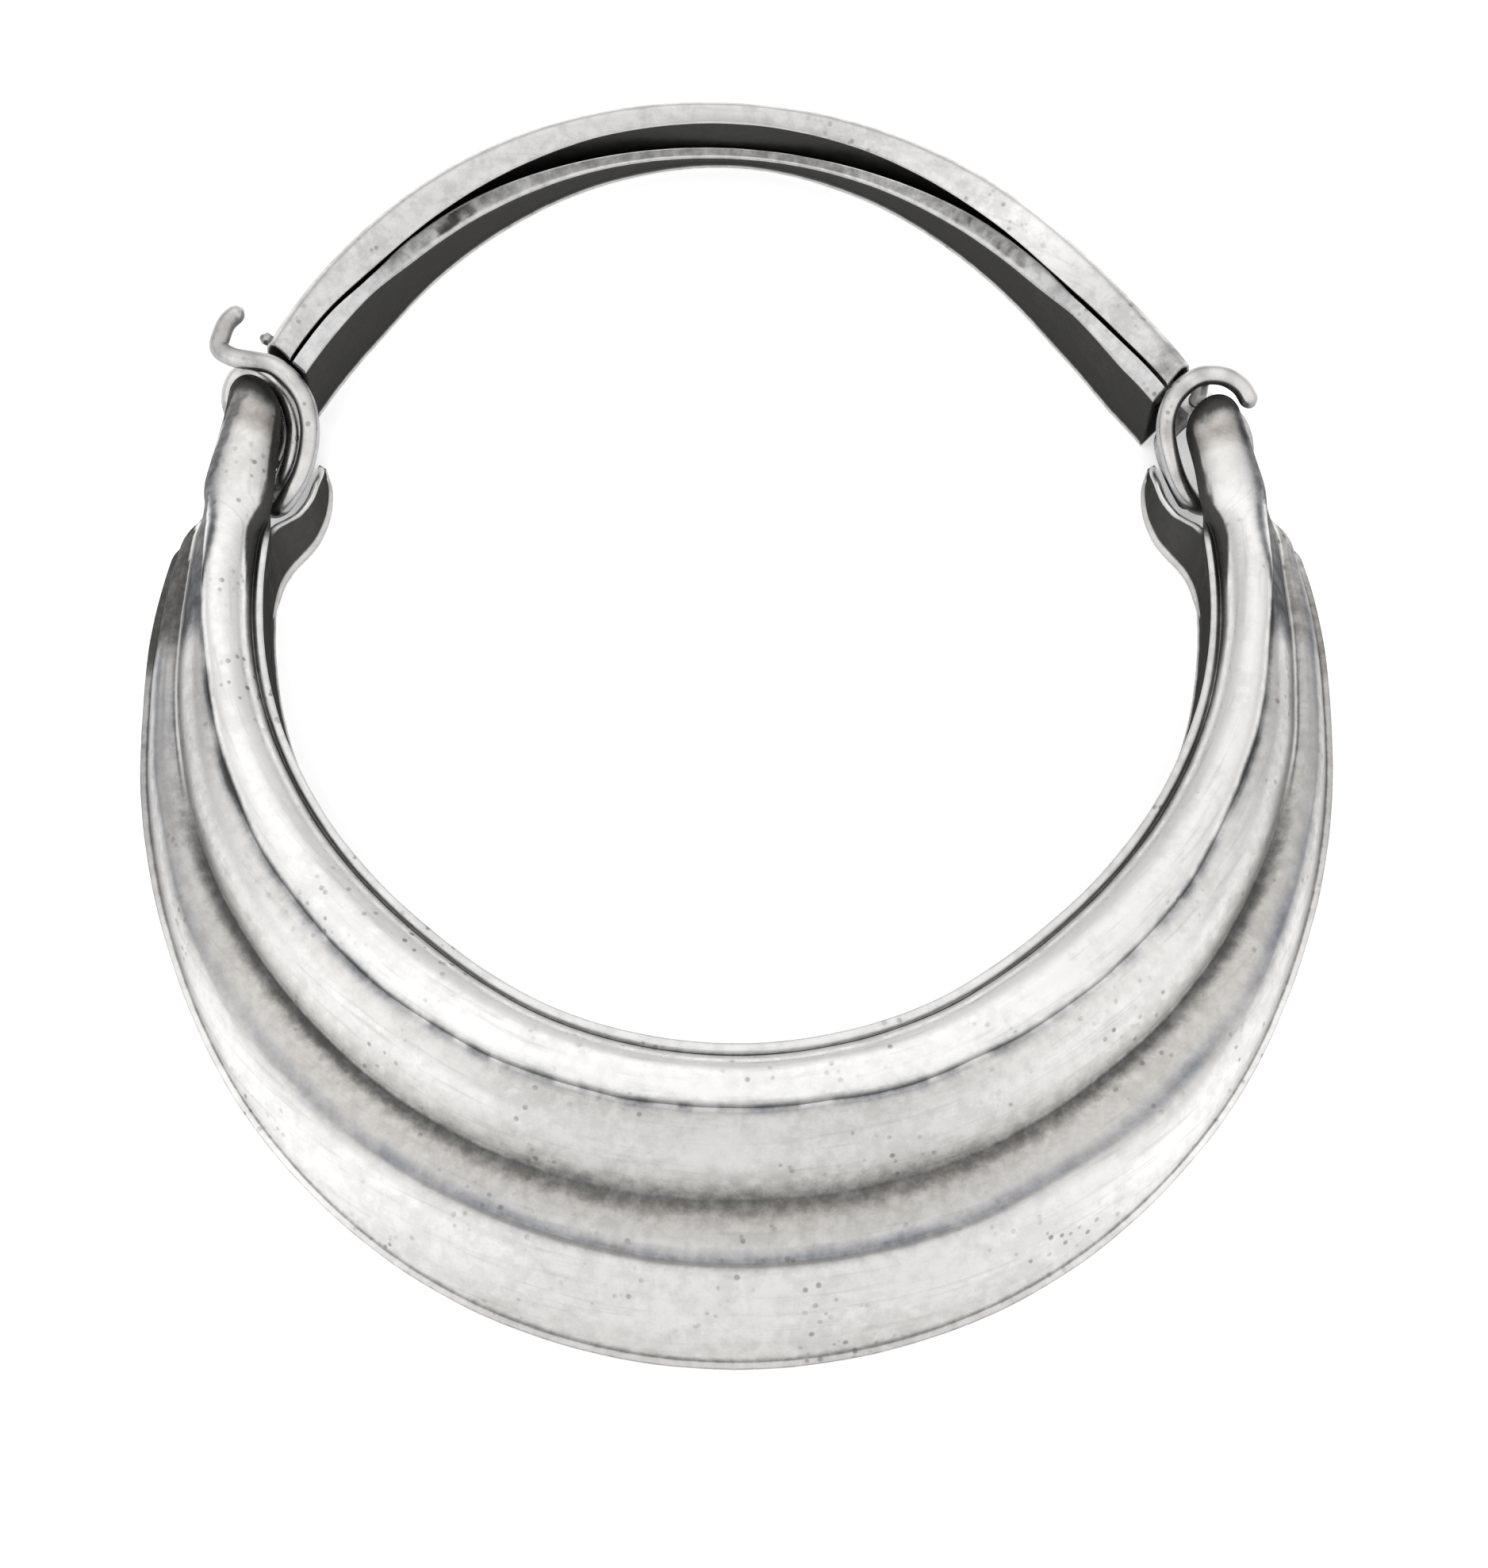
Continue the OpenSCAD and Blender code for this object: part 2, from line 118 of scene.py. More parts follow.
def front_profile(side, angle):
    """The front's section: (radius, height, direction round the tube) in mm and degrees, from the foot
    of the neck face over the ridges to the rim and back under, and the radii of its lines."""
    row = smooth_row(FRONT, min(angle, FRONT[-1][0]), even=True)
    crevice, groove1, groove2, soft, rim, z_crev, z_gr1, z_gr2, z_soft, z_crest = row[1:]
    at = side * angle
    groove1 += 0.22 * waver(1, at, 9)
    groove2 += 0.2 * waver(2, at, 12)
    soft += 0.5 * waver(3, at, 16) * (1 - ease((angle - 85) / 12))
    face, top = crevice - lip_width, z_crev + 0.1
    z_base = z_crev - mix(0.35, 0.9, angle / 100)

    # the ledge of sheet at the foot, the neck face, the lip and the step down into the crevice
    points = [(face - out, z, turn) for out, z, turn in
              ((0.3, 0.0, -158), (0.38, 0.1, -157), (0.38, 0.55, -156), (0.3, 0.65, -155))]
    points += [(face, mix(0.68, top - 0.4, k / 6), mix(-154, -120, k / 6)) for k in range(7)]
    points += [(face + 0.06, top - 0.18, -119), (face + 0.2, top - 0.04, -118), (face + 0.4, top, -116)]
    points += [(crevice - short, mix(top, z_base, down), turn) for short, down, turn in
               ((0.8, 0, -112), (0.5, 0.1, -109), (0.25, 0.45, -105), (0.1, 0.85, -100), (0, 1, -97))]

    # the first ridge, which grows round towards the tube
    round_top = mix(0.15, 1, angle / 100)
    middle, half = (crevice + groove1) / 2, (groove1 - crevice) / 2
    rise = z_crest - (z_base + z_gr1) / 2
    turns = ([-1, -0.93, -0.75, -0.42, 0, 0.42, 0.75, 0.93, 1], [-97, -83, -64, -40, -5, 30, 58, 80, 95])
    dome_cuts = 28
    for k in range(1, dome_cuts):
        u = -math.cos(math.pi * k / dome_cuts)
        dome = mix(1 - u * u, math.sqrt(1 - u * u), round_top)
        z = mix(z_base, z_gr1, (u + 1) / 2) + rise * dome
        points.append((middle + half * u, z, float(np.interp(u, *turns))))
    points.append((groove1, z_gr1, 95))

    def swell(end, cuts, shape):
        """Goes on from the last point to the end, higher than a straight line by the shape."""
        start = points[-1]
        for k in range(1, cuts):
            r, z, turn = (mix(a, b, k / cuts) for a, b in zip(start, end))
            points.append((r, z + shape(k / cuts), turn))
        points.append(end)

    # the second ridge, the shelf outside groove 2, the third ridge, the rim's edge and the underside
    second, third = swelling * (groove2 - groove1), swelling * (rim - soft)
    swell((groove2, z_gr2, 131), 21, lambda s: second * math.sin(math.pi * s))
    swell((soft, z_soft, 143), 10, lambda s: 0.5 * math.sin(math.pi * s) ** 2)
    swell((rim - 1, 1, 168), 24, lambda s: third * math.sin(math.pi * s**0.85) * ease(0.5 + 4 * s))
    points += [(rim - short, z, turn) for short, z, turn in
               ((0.92, 0.94, 169), (0.7, 0.97, 170), (0.3, 0.97, 172), (0.08, 0.88, 173), (0, 0.7, 174),
                (0, 0.2, 176), (0.08, 0.05, 177), (0.3, 0, 178))]
    points += [(mix(rim - 1, face + 0.5, k / 5), 0, mix(180, 200, k / 5)) for k in range(6)]
    return points, (crevice, groove1, groove2, soft, rim)


def front_marks(side, angle, radius, height, turn, lines):
    """How dark, warm and cool the silver is at a point of the front, each 0 to 1."""
    crevice, groove1, groove2, soft, rim = lines
    face = crevice - lip_width
    # The underside is painted darker as shade and the ledge at the foot is left light; the neck face is
    # painted dark as shade.
    if height < 0.05:
        return 0.5, 0.2, 0
    if height < 0.7 and radius < face - 0.05 and angle < 96:
        return 0.0, 0.3, 0.2
    if radius < face + 0.05 or turn < -119:
        return 1.0, 0, 0
    at, at_left = side * angle, side < 0
    calm = 1 - ease((angle - 90) / 10)
    middle, side_on, beside = 1 - ease((angle - 12) / 30), ease((angle - 42) / 25), near(angle - 78, 18)
    patchy = 0.75 + 0.45 * waver(11, at, 6)
    spotty = ease(0.6 + 0.9 * waver(14, at, 2.2))
    speckled = mix(patchy, spotty, 0.5 * (1 - side_on))
    g1, g2, s3 = radius - groove1, radius - groove2, radius - soft

    # the lines, painted dark as shade: the crevice, the double line of the rim and the soft third line,
    # which
    #     is also painted cool; both grooves are tarnish with painted shade, cool along groove 1
    in_crevice = near(radius - crevice, mix(0.1, 0.25, ease((angle - 70) / 20))) * (turn > -105)
    in_crevice *= mix(1, 0.65, ease((angle - 68) / 10))
    along_g1 = mix(0.58, 0.85, side_on) * near(g1, mix(0.42, 0.5, side_on)) * speckled * calm
    opened = ease((76 - angle) / 16)
    wide_g2 = mix(mix(0.74, 0.88, patchy) * near(g2, 0.35 if g2 < 0 else 1.9),
                  max(0.58 * near(g2 - 0.5, 1.9), 0.7 * near(g2, 0.25)), middle)
    along_g2 = max(opened * wide_g2, 0.7 * (1 - opened) * near(g2 - 0.4, 0.22)) * calm
    along_s3 = 0.3 * near(s3, 0.6) * middle * spotty
    along_rim = (0.6 * near(radius - rim + 0.94, 0.14) + 0.5 * near(radius - rim, 0.12)) * (height > 0.3)
    dark = max(in_crevice, along_g1, along_g2, along_s3, along_rim)
    cool = max(0.75 * near(g1 - 0.2, 0.75) * speckled, 0.8 * near(s3, 1.1) * (0.8 + 0.35 * waver(12, at, 8)))

    # the tone of each ridge. Painted shade: the second ridge darker beside groove 1 and down its lower
    # flank,
    #     the shelf brown next to groove 2, and the third ridge brown by the soft line. Besides that the
    #     ridges turn warmer and cooler towards the sides and, in the middle, by the rim, and the right side
    #     is warmer.
    warm = 0.0 if at_left else 0.16 * ease((angle - 25) / 20)
    if radius > groove1:
        across = g1 / (groove2 - groove1)
        warm = mix(0.1, mix(0.36, 0.3, middle), max(middle, beside))
        warm += 0.2 * near(across - 0.1, 0.25) + 0.35 * ease((across - 0.6) / 0.4)
        cool = max(cool, 0.15 * middle + 0.25 * beside)
    if radius > groove2:
        across, outer = g2 / (soft - groove2), s3 / (rim - soft)
        if across < 1:
            warm = mix(0.68 - 0.15 * across, 1.0 - 0.7 * across, middle)
        else:
            by_rim = (0.2 + 0.25 * ease((outer - 0.55) / 0.3)) * middle
            warm = max(0.55 * near(across - 1, 0.35), 0.65 * beside, by_rim)
        cool = max(cool, 0.12 * middle, (0.45 if at_left else 0.25) * beside)

    # the narrow ends of the second and third ridges, painted as shade: the second dark and cool, the third
    #     dark and brown, darker on the left and lighter along a streak; and towards the ends the edge
    #     between them is kept free of the painted shade, so that it shows as a bright line
    if angle > 81 and radius > groove1:
        ending = ease((angle - 82 + 1.6 * waver(16, turn, 25)) / 6)
        if g2 < -0.3:
            dark, cool = max(dark, 0.56 * ending), max(cool, 0.9 * ending)
        elif g2 > 0.2:
            streak = near(g2 / (rim - groove2) - 0.45, 0.3)
            dark = max(dark, (0.85 if at_left else 0.45) * ending * (1 - 0.3 * streak))
            warm = max(warm, 0.8 * ending)
    if abs(g2 + 0.12) < 0.2 and angle > 68:
        dulled = 1 - ease((angle - 68) / 8)
        dark, warm, cool = dark * dulled, warm * dulled, cool * dulled

    # the tube: painted shade on its inner flank and in a blue-grey band outside, and brown and dark at the
    #     tip, tarnish with painted shade
    drawn = ease((angle - 90) / 8)
    flank = ease((-mix(70, 50, drawn) - turn) / mix(7, 14, drawn)) * ease((angle - 74) / 12)
    flank *= mix(0.58, 0.97, ease((angle - 88) / 9)) * (1 if turn > -111 else ease((angle - 96) / 5))
    band = 0.7 * near(turn - mix(82, 46, ease((angle - 90) / 7)), 18) * ease((angle - 87) / 5)
    on_tube, to_tip = ease((angle - 86) / 10), tips[side] - angle
    at_tip = ease((5.4 - to_tip + 0.5 * waver(15, turn, 40)) / 3.4) * on_tube
    faded = mix(1, calm, 0.6)
    dark = max(dark, flank, band * (0.75 + 0.35 * waver(13, at, 5)), at_tip)
    warm = max(warm * faded, 0.9 * near(to_tip - 5.4, 2.2) * on_tube, 0.3 * ease((angle - 99) / 7))
    cool = max(0, cool * faded, band, 0.2 * (radius < crevice))
    return dark, warm, cool


def placed(name, data):
    """A new object in the scene."""
    obj = bpy.data.objects.new(name, data)
    bpy.context.scene.collection.objects.link(obj)
    return obj


def write_marks(mesh, marks):
    """Keeps how dark, warm and cool every vertex is, for the material to read."""
    for c, mark in enumerate(("dark", "warm", "cool")):
        layer = mesh.attributes.new(mark, "FLOAT", "POINT")
        layer.data.foreach_set("value", np.array([m[c] for m in marks], np.float32))


def loft(name, rings, caps="fan"):
    """A closed mesh over rings, each its points in metres, all alike in number, and their marks. It has
    a UV map in metres along and across the rings. caps is fan or, for an open channel, pair."""
    outlines = [points for points, _ in rings]
    flat_marks = [mark for _, marks in rings for mark in marks]
    count, n = len(outlines), len(outlines[0])
    verts = [p for outline in outlines for p in outline]
    faces = [(i * n + k, (i + 1) * n + k, (i + 1) * n + (k + 1) % n, i * n + (k + 1) % n)
             for i in range(count - 1) for k in range(n)]
    last = (count - 1) * n
    if caps == "fan":
        for base, outline, turn in ((0, outlines[0], 1), (last, outlines[-1], -1)):
            middle = len(verts)
            verts.append(tuple(sum(p[c] for p in outline) / n for c in range(3)))
            faces += [(middle, base + k, base + (k + 1) % n)[::turn] for k in range(n)]
        flat_marks += [flat_marks[0], flat_marks[-1]]
    else:
        for k in range(n // 2 - 1):
            faces.append((k, k + 1, n - 2 - k, n - 1 - k))
            faces.append((last + n - 1 - k, last + n - 2 - k, last + k + 1, last + k))
    mesh = bpy.data.meshes.new(name)
    mesh.from_pydata(verts, [], faces)
    skin = bmesh.new()
    skin.from_mesh(mesh)
    if skin.calc_volume(signed=True) < 0:
        bmesh.ops.reverse_faces(skin, faces=skin.faces)
        skin.to_mesh(mesh)
    skin.free()
    write_marks(mesh, flat_marks)
    grid = np.array(outlines)
    along, across = np.zeros((count, n)), np.zeros((count, n))
    along[1:] = np.cumsum(np.linalg.norm(np.diff(grid.mean(axis=1), axis=0), axis=1))[:, None]
    across[:, 1:] = np.cumsum(np.linalg.norm(np.diff(grid, axis=1), axis=2), axis=1)
    flat_uv = np.stack([along.ravel(), across.ravel()], axis=1)
    flat_uv = np.vstack([flat_uv, flat_uv[:1], flat_uv[-1:]])
    loops = np.empty(len(mesh.loops), np.int32)
    mesh.loops.foreach_get("vertex_index", loops)
    uv = mesh.uv_layers.new(name="along")
    uv.data.foreach_set("uv", flat_uv[loops].astype(np.float32).ravel())
    mesh.polygons.foreach_set("use_smooth", [True] * len(mesh.polygons))
    mesh.update()
    return placed(name, mesh)


def polar(side, angle, radius, height):
    """A point in metres, from the angle and the radius about the neck's middle and the height in mm."""
    turn = math.radians(angle)
    return (side * radius * mm * math.sin(turn), neck_y - radius * mm * math.cos(turn), height * mm)


def front_ring(side, angle, radius=tube_radius, deep=0.0):
    """One ring of the front's skin and its marks. radius is the tube's there, and deep is how many
    degrees the ring is sunk back into the vent hole."""
    row = smooth_row(TUBE, max(TUBE[0][0], angle))
    axis, half_width = (row[1], row[3]) if side < 0 else (row[2], row[4])
    across = half_width - tube_radius + radius
    blend = ease((angle - tube_starts) / (tube_whole - tube_starts))
    points, lines = front_profile(side, angle)
    ring, marks = [], []
    for r, z, turn in points:
        t = math.radians(turn)
        q = mix(r, axis + across * math.sin(t), blend)
        h = mix(z, tube_height + radius * math.cos(t), blend)
        ring.append(polar(side, angle - deep, q, h))
        # the rings sunk into the vent hole are painted dark as shade
        marks.append((0.97, 0, 0) if deep else front_marks(side, angle, q, h, turn, lines))
    return ring, marks


def half_front(side):
    """Rings from the middle of the front to one tip, and into the vent hole there."""
    degree = math.radians(tube_path)
    centre = tips[side] - tube_radius / degree
    rings = [front_ring(side, step_angle * k) for k in range(int(centre / step_angle) + 1)]
    for lean in range(4, 80, 5):
        t = math.radians(lean)
        angle = centre + tube_radius * math.sin(t) / degree
        rings.append(front_ring(side, angle, tube_radius * math.cos(t)))
    edge = centre + math.sqrt(tube_radius**2 - vent_radius**2) / degree
    rings.append(front_ring(side, edge, vent_radius))
    rings += [front_ring(side, edge, vent_radius * 0.9, deep) for deep in vent_depths]
    return rings


def maths(tree, operation, a, b, clamp=False):
    """The output of a Math node in a tree, on numbers or other outputs."""
    node = tree.nodes.new("ShaderNodeMath")
    node.operation, node.use_clamp = operation, clamp
    for socket, value in zip(node.inputs, (a, b)):
        if isinstance(value, (int, float)):
            socket.default_value = value
        elif value is not None:
            tree.links.new(value, socket)
    return node.outputs[0]


def new_tree(name, **inputs):
    """A geometry tree with named inputs, a material too, and its first and last node."""
    tree = bpy.data.node_groups.new(name, "GeometryNodeTree")
    socket = tree.interface.new_socket
    socket("Geometry", in_out="INPUT", socket_type="NodeSocketGeometry")
    for key, value in inputs.items():
        kind = "NodeSocketInt" if isinstance(value, int) else "NodeSocketFloat"
        socket(key, in_out="INPUT", socket_type=kind).default_value = value
    socket("Material", in_out="INPUT", socket_type="NodeSocketMaterial")
    socket("Geometry", in_out="OUTPUT", socket_type="NodeSocketGeometry")
    return tree, tree.nodes.new("NodeGroupInput"), tree.nodes.new("NodeGroupOutput")


def end_tree(tree, geometry, entry, leave):
    """Ends a geometry tree in Realize Instances and Set Material."""
    link = tree.links.new
    real = tree.nodes.new("GeometryNodeRealizeInstances")
    coat = tree.nodes.new("GeometryNodeSetMaterial")
    link(geometry, real.inputs["Geometry"])
    link(real.outputs[0], coat.inputs["Geometry"])
    link(entry.outputs["Material"], coat.inputs["Material"])
    link(coat.outputs[0], leave.inputs["Geometry"])


def hammer_marks():
    """A tree that presses shallow dents into a surface, only ever inwards."""
    tree, entry, leave = new_tree("hammer_marks", Depth=0.1 * mm, Size=7 * mm, Seed=3.0)
    made, link = tree.nodes.new, tree.links.new
    place, normal = made("GeometryNodeInputPosition"), made("GeometryNodeInputNormal")
    seeded, push = made("ShaderNodeVectorMath"), made("ShaderNodeVectorMath")
    seeded.operation, push.operation = "ADD", "SCALE"
    dents, move = made("ShaderNodeTexNoise"), made("GeometryNodeSetPosition")
    dents.inputs["Detail"].default_value = 1.5
    link(place.outputs[0], seeded.inputs[0])
    link(entry.outputs["Seed"], seeded.inputs[1])
    link(seeded.outputs[0], dents.inputs["Vector"])
    link(maths(tree, "DIVIDE", 1.0, entry.outputs["Size"]), dents.inputs["Scale"])
    depth = maths(tree, "MULTIPLY", dents.outputs[0], entry.outputs["Depth"])
    link(normal.outputs[0], push.inputs[0])
    link(maths(tree, "MULTIPLY", depth, -1.0), push.inputs["Scale"])
    link(entry.outputs["Geometry"], move.inputs["Geometry"])
    link(push.outputs[0], move.inputs["Offset"])
    end_tree(tree, move.outputs[0], entry, leave)
    return tree


def apply_tree(obj, tree, **values):
    """Runs a geometry tree on an object with its named inputs, and keeps the result as a plain mesh."""
    modifier = obj.modifiers.new(tree.name, "NODES")
    modifier.node_group = tree
    for item in tree.interface.items_tree:
        if item.item_type == "SOCKET" and item.in_out == "INPUT" and item.name in values:
            modifier[item.identifier] = values[item.name]
    graph = bpy.context.evaluated_depsgraph_get()
    shape = obj.evaluated_get(graph)
    mesh = bpy.data.meshes.new_from_object(shape, preserve_all_data_layers=True, depsgraph=graph)
    mesh.name = obj.name
    if obj.type == "MESH":
        obj.modifiers.clear()
        obj.data = mesh
        return obj
    made = placed(obj.name + "_mesh", mesh)
    bpy.data.objects.remove(obj)
    return made


SILVER = {
    # base colours of the metal, from rubbed bright to black; the black is tarnish and painted shade
    "rubbed": (0.69, 0.685, 0.675),
    "patina": (0.52, 0.515, 0.505),
    "streak": (0.36, 0.355, 0.345),
    "warm": (0.27, 0.248, 0.222),
    "cool": (0.15, 0.16, 0.185),
    "pit": (0.12, 0.115, 0.11),
    "tarnish_and_shade": (0.074, 0.073, 0.071),
}
tarnish_and_shade_tint = 0.1


def span(tree, value, low, high, to_low=0.0, to_high=1.0):
    """The output of a Map Range node in a tree: a smooth step from to_low to to_high."""
    node = tree.nodes.new("ShaderNodeMapRange")
    node.interpolation_type = "SMOOTHSTEP"
    for key, number in (("From Min", low), ("From Max", high), ("To Min", to_low), ("To Max", to_high)):
        node.inputs[key].default_value = number
    tree.links.new(value, node.inputs["Value"])
    return node.outputs[0]


def worn_silver(name, patina, pits, streaks, sheen):
    """Old silver: bright where it is rubbed, grey patina in patches, pits and fine streaks, and the marks
    of the mesh for tarnish and painted shade. sheen is the roughness of the rubbed metal."""
    mat = bpy.data.materials.new(name)
    mat.use_nodes = True
    tree = mat.node_tree
    nodes, link = tree.nodes, tree.links.new
    nodes.clear()
    out, metal = nodes.new("ShaderNodeOutputMaterial"), nodes.new("ShaderNodeBsdfPrincipled")
    metal.inputs["Metallic"].default_value = 1.0
    link(metal.outputs[0], out.inputs["Surface"])
    place, along = nodes.new("ShaderNodeTexCoord"), nodes.new("ShaderNodeUVMap")
    along.uv_map = "along"

    def texture(scale, detail, rough=0.6, stretch=None, lean=0.0):
        """Noise on Object coordinates or, stretched and turned, on the UV map."""
        node = nodes.new("ShaderNodeTexNoise")
        node.inputs["Scale"].default_value = scale
        node.inputs["Detail"].default_value = detail
        node.inputs["Roughness"].default_value = rough
        if stretch:
            turned = nodes.new("ShaderNodeMapping")
            turned.inputs["Scale"].default_value = (*stretch, 1)
            turned.inputs["Rotation"].default_value = (0, 0, lean)
            link(along.outputs[0], turned.inputs["Vector"])
            link(turned.outputs[0], node.inputs["Vector"])
        else:
            link(place.outputs["Object"], node.inputs["Vector"])
        return node.outputs["Fac"]

    def both(a, b):
        return maths(tree, "ADD", a, b, clamp=True)

    def times(a, b):
        return maths(tree, "MULTIPLY", a, b, clamp=True)

    def tint(colour, other, amount):
        node = nodes.new("ShaderNodeMix")
        node.data_type = "RGBA"
        link(amount, node.inputs["Factor"])
        for socket, value in ((node.inputs[6], colour), (node.inputs[7], other)):
            if isinstance(value, tuple):
                socket.default_value = (*value, 1)
            else:
                link(value, socket)
        return node.outputs[2]

    def mark(key):
        node = nodes.new("ShaderNodeAttribute")
        node.attribute_name = key
        return node.outputs["Fac"]

    patches = texture(85, 5)
    mottle = texture(520, 4, rough=0.7)
    grain = texture(1.0, 4, stretch=(90, 2600))
    brushed = texture(1.0, 3, stretch=(60, 900), lean=0.12)
    scratch = texture(1.0, 2, stretch=(1500, 35), lean=0.7)
    cells = nodes.new("ShaderNodeTexVoronoi")
    cells.inputs["Scale"].default_value = 620
    link(place.outputs["Object"], cells.inputs["Vector"])
    dark, warm, cool = mark("dark"), mark("warm"), mark("cool")

    pitted = times(span(tree, cells.outputs["Distance"], 0.3, 0.14), span(tree, patches, 0.5, 0.66))
    pitted = times(pitted, pits)
    grey = times(span(tree, both(times(patches, 0.55), times(mottle, 0.45)), 0.44, 0.6), patina)
    uneven = span(tree, mottle, 0.3, 0.7, 0.88, 1.1)
    # the dark mark is tarnish and painted shade: it takes the colour to near black and dims the specular
    tarnish_and_shade = span(tree, both(dark, span(tree, mottle, 0.3, 0.7, -0.06, 0.06)), 0.1, 0.9)
    colour = tint(SILVER["rubbed"], SILVER["patina"], grey)
    colour = tint(colour, SILVER["streak"], times(span(tree, brushed, 0.52, 0.72), streaks))
    colour = tint(colour, SILVER["warm"], times(warm, uneven))
    colour = tint(colour, SILVER["cool"], times(cool, uneven))
    colour = tint(colour, SILVER["pit"], pitted)
    colour = tint(colour, SILVER["tarnish_and_shade"], tarnish_and_shade)
    link(colour, metal.inputs["Base Color"])
    link(tint((1.0,) * 3, (tarnish_and_shade_tint,) * 3, tarnish_and_shade), metal.inputs["Specular Tint"])
    rough = both(span(tree, mottle, 0.3, 0.7, sheen - 0.05, sheen + 0.09), times(dark, 0.3))
    link(rough, metal.inputs["Roughness"])

    relief = both(times(grain, 0.25), times(span(tree, scratch, 0.62, 0.75), 0.1))
    relief = maths(tree, "SUBTRACT", both(relief, times(mottle, 0.15)), times(pitted, 0.8))
    bump = nodes.new("ShaderNodeBump")
    bump.inputs["Strength"].default_value = 0.35
    bump.inputs["Distance"].default_value = 0.08 * mm
    link(relief, bump.inputs["Height"])
    link(bump.outputs[0], metal.inputs["Normal"])
    return mat


left, right = half_front(-1), half_front(1)
front = loft("front_shell", left[:0:-1] + right)
front_silver = worn_silver("front_silver", patina=0.42, pits=0.7, streaks=0.35, sheen=0.3)
dents = hammer_marks()
apply_tree(front, dents, Depth=0.22 * mm, Size=9 * mm, Seed=3.0, Material=front_silver)
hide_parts("front_crescent")
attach(front, "front")

# Ears
# At each end the neck plate is left long and beaten out into a small rounded tongue of plain sheet that
# leans in under the neck, with a ledge of sheet along its foot. Its faces are painted dark as shade, and
# so is its top edge up to about 99°, beyond which the edge is left bright.
EAR = [
    # angle foot_r top_r  height, in mm and degrees
    [91,     64.0,  64.4,  10.2],
    [95,     63.5,  64.5,  10.0],
    [98,     62.4,  64.9,  9.6],
    [101,    60.8,  64.5,  8.2],
    [103,    60.1,  63.4,  6.6],
    [104.5,  59.9,  62.5,  5.8],
    [107,    59.9,  61.8,  5.5],
    [109.5,  60.5,  61.9,  5.3],
    [111.5,  61.5,  62.4,  3.8],
    [113.5,  63.4,  63.6,  1.0],
]
LEDGE = ((0.0, 0.72), (0.42, 0.7), (0.52, 0.6), (0.52, 0.12), (0.42, 0.0))
ear_starts, ear_ends = EAR[0][0], EAR[-1][0]
ear_sheet = 1.0
ear_steps = 60


def ear_ring(side, angle):
    """One ring of an ear and its marks: up the outer face, over the top edge, down the neck face and
    over the ledge at its foot."""
    _, foot, top, height = smooth_row(EAR, angle)
    half = ear_sheet / 2
    grown = ease((angle - ear_starts) / 3)
    foot += mix(half, mix(0.5, 1.0, near(angle - 98.5, 4)), grown)
    height = max(height, ear_sheet)
    foot_at, top_at = np.array([foot, half]), np.array([top, height - half])
    up = top_at - foot_at + np.array([0, 1e-4])
    up /= np.linalg.norm(up)
    out = np.array([up[1], -up[0]])
    outline, marks = [], []
    # the outer and neck faces are painted dark as shade, the top edge too up to about 99°; the ledge is left
    # light
    for s in range(9):
        outline.append(mix(foot_at, top_at, s / 8) + out * half)
        marks.append((0.9, 0, 0))
    for turn in range(15, 180, 15):
        t = math.radians(turn)
        outline.append(top_at + half * (out * math.cos(t) + up * math.sin(t)))
        marks.append((1 - ease((angle - 99) / 2.5), 0.1, 0.1))
    for s in range(9):
        outline.append(mix(top_at, foot_at, 0.06 + 0.85 * s / 8) - out * half)
        marks.append((1.0, 0, 0))
    for inwards, z in LEDGE:
        outline.append((foot - half - inwards * ease((angle - ear_starts) / 4), min(z, 0.7 * height)))
        marks.append((0.0, 0.3, 0.25))
    outline.append((foot + half - 0.1, 0.0))
    marks.append((0.5, 0, 0))
    ring = [polar(side, angle, r, max(0.0, z)) for r, z in outline]
    return ring[::-side], marks[::-side]


for side, name in ((-1, "ear_left"), (1, "ear_right")):
    rings = [ear_ring(side, mix(ear_starts, ear_ends, k / ear_steps)) for k in range(ear_steps + 1)]
    ear = loft(name, rings)
    ear.data.materials.append(front_silver)
    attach(ear, "front")

# Back arc
# The slim back half: one strip of silver sheet bent over into an open channel, crest outside and a low
# neck plate inside, with the plate's edge turned down. The channel's inside, seen through the window
# between them, and the neck plate are painted dark as shade.
BACK_OUT = [
    # angle outer radius, about the back's own centre
    [-66, 69.2], [-48, 69.5], [-32, 70.0], [-16, 70.0], [0, 69.6],
    [16, 69.2], [32, 68.8], [48, 68.6], [58, 69.3], [68, 71.2],
]
BACK = [
    # angle plate crest z_cut plate_h flange, in mm and degrees
    [0,      2.9,  4.0,  13.0, 2.0,    1.2],
    [16,     4.2,  4.5,  13.0, 3.8,    1.5],
    [32,     6.3,  5.7,  13.2, 6.6,    2.6],
    [45,     7.6,  6.2,  13.3, 9.2,    2.7],
    [53,     8.2,  6.0,  13.4, 12.0,   2.0],
    [60,     8.0,  5.2,  13.5, 12.6,   2.5],
    [72,     6.8,  4.3,  13.5, 12.6,   2.2],
]
back_height = 15.0
back_sheet = 0.8
back_centre = Vector((-3 * mm, neck_y + 8.4 * mm))
back_ends = (-64.4, 67.8)
back_steps = 264
back_skew = 2.2
bend_cuts = 5


